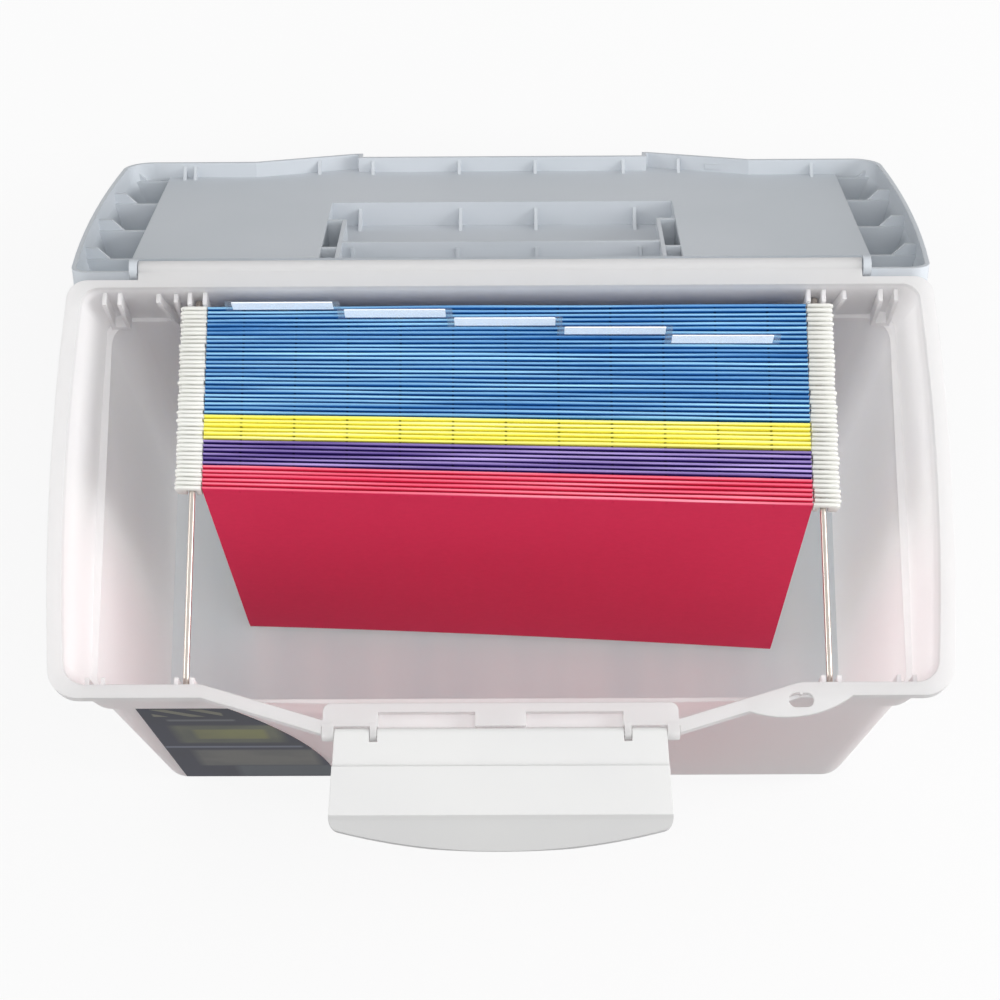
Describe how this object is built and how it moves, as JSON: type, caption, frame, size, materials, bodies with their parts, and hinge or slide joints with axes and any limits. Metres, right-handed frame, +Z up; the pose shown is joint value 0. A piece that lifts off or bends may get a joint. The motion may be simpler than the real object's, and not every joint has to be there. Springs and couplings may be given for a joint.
{
  "type": "portable file box",
  "caption": "Portable file box with a hinged tray lid, folding carry handle, flip latch, steel hanging rails and coloured hanging folders that slide along them.",
  "frame": {"origin": "centre of the tub's flat base, on the surface it stands on", "axes": "+Z up, -Y towards the latch side, +X to the right seen from the latch side"},
  "size_m": [0.4404, 0.4391, 0.2663],
  "materials": {
    "tub_plastic": "frosted, slightly see-through moulded polypropylene",
    "lid_plastic": "cool grey moulded polypropylene, satin",
    "latch_plastic": "white moulded polypropylene, satin",
    "handle_plastic": "cool grey moulded polypropylene, satin",
    "wire": "zinc-plated steel wire",
    "rod_steel": "plain strip",
    "hook_plastic": "ivory white moulded plastic",
    "clear_plastic": "clear sheet plastic",
    "insert_paper": "plain white paper",
    "label_paper": "printed paper, dark slate with lighter bands, satin",
    "blue_card": "coloured file card, matt",
    "yellow_card": "coloured file card, matt",
    "purple_card": "coloured file card, matt",
    "red_card": "coloured file card, matt"
  },
  "bodies": {
    "box": {"tub": "tub_plastic", "label": "label_paper", "rail_left": "wire", "rail_right": "wire"},
    "lid": {"lid": "lid_plastic"},
    "latch": {"latch": "latch_plastic"},
    "handle": {"handle": "handle_plastic"},
    "blue_folders": {"blue_sheets": "blue_card", "blue_rods": "rod_steel", "blue_hooks": "hook_plastic", "tabs": "clear_plastic", "tab_inserts": "insert_paper"},
    "yellow_folders": {"yellow_sheets": "yellow_card", "yellow_rods": "rod_steel", "yellow_hooks": "hook_plastic"},
    "purple_folders": {"purple_sheets": "purple_card", "purple_rods": "rod_steel", "purple_hooks": "hook_plastic"},
    "red_folders": {"red_sheets": "red_card", "red_rods": "rod_steel", "red_hooks": "hook_plastic"}
  },
  "joints": [
    {"name": "lid_hinge", "type": "hinge", "parent": "box", "child": "lid", "pos_m": [0, 0.111, 0.259], "axis": [1, 0, 0], "range_deg": [0, 230.87]},
    {"name": "latch_hinge", "type": "hinge", "parent": "box", "child": "latch", "pos_m": [0, -0.126, 0.259], "axis": [1, 0, 0], "range_deg": [-90, 0]},
    {"name": "handle_pivot", "type": "hinge", "parent": "lid", "child": "handle", "pos_m": [0, 0.14872, 0.16335], "axis": [-1, 0, 0], "range_deg": [0, 90]},
    {"name": "red_slide", "type": "slide", "parent": "box", "child": "red_folders", "axis": [0, -1, 0], "range_m": [0, 0.062]},
    {"name": "purple_slide", "type": "slide", "parent": "box", "child": "purple_folders", "axis": [0, -1, 0], "range_m": [0, 0.0465]},
    {"name": "yellow_slide", "type": "slide", "parent": "box", "child": "yellow_folders", "axis": [0, -1, 0], "range_m": [0, 0.031]},
    {"name": "blue_slide", "type": "slide", "parent": "box", "child": "blue_folders", "axis": [0, -1, 0], "range_m": [0, 0.0155]}
  ],
  "couplings": [
    {"joint": "purple_slide", "follows": "red_slide", "ratio": 0.75},
    {"joint": "yellow_slide", "follows": "red_slide", "ratio": 0.5},
    {"joint": "blue_slide", "follows": "red_slide", "ratio": 0.25}
  ]
}
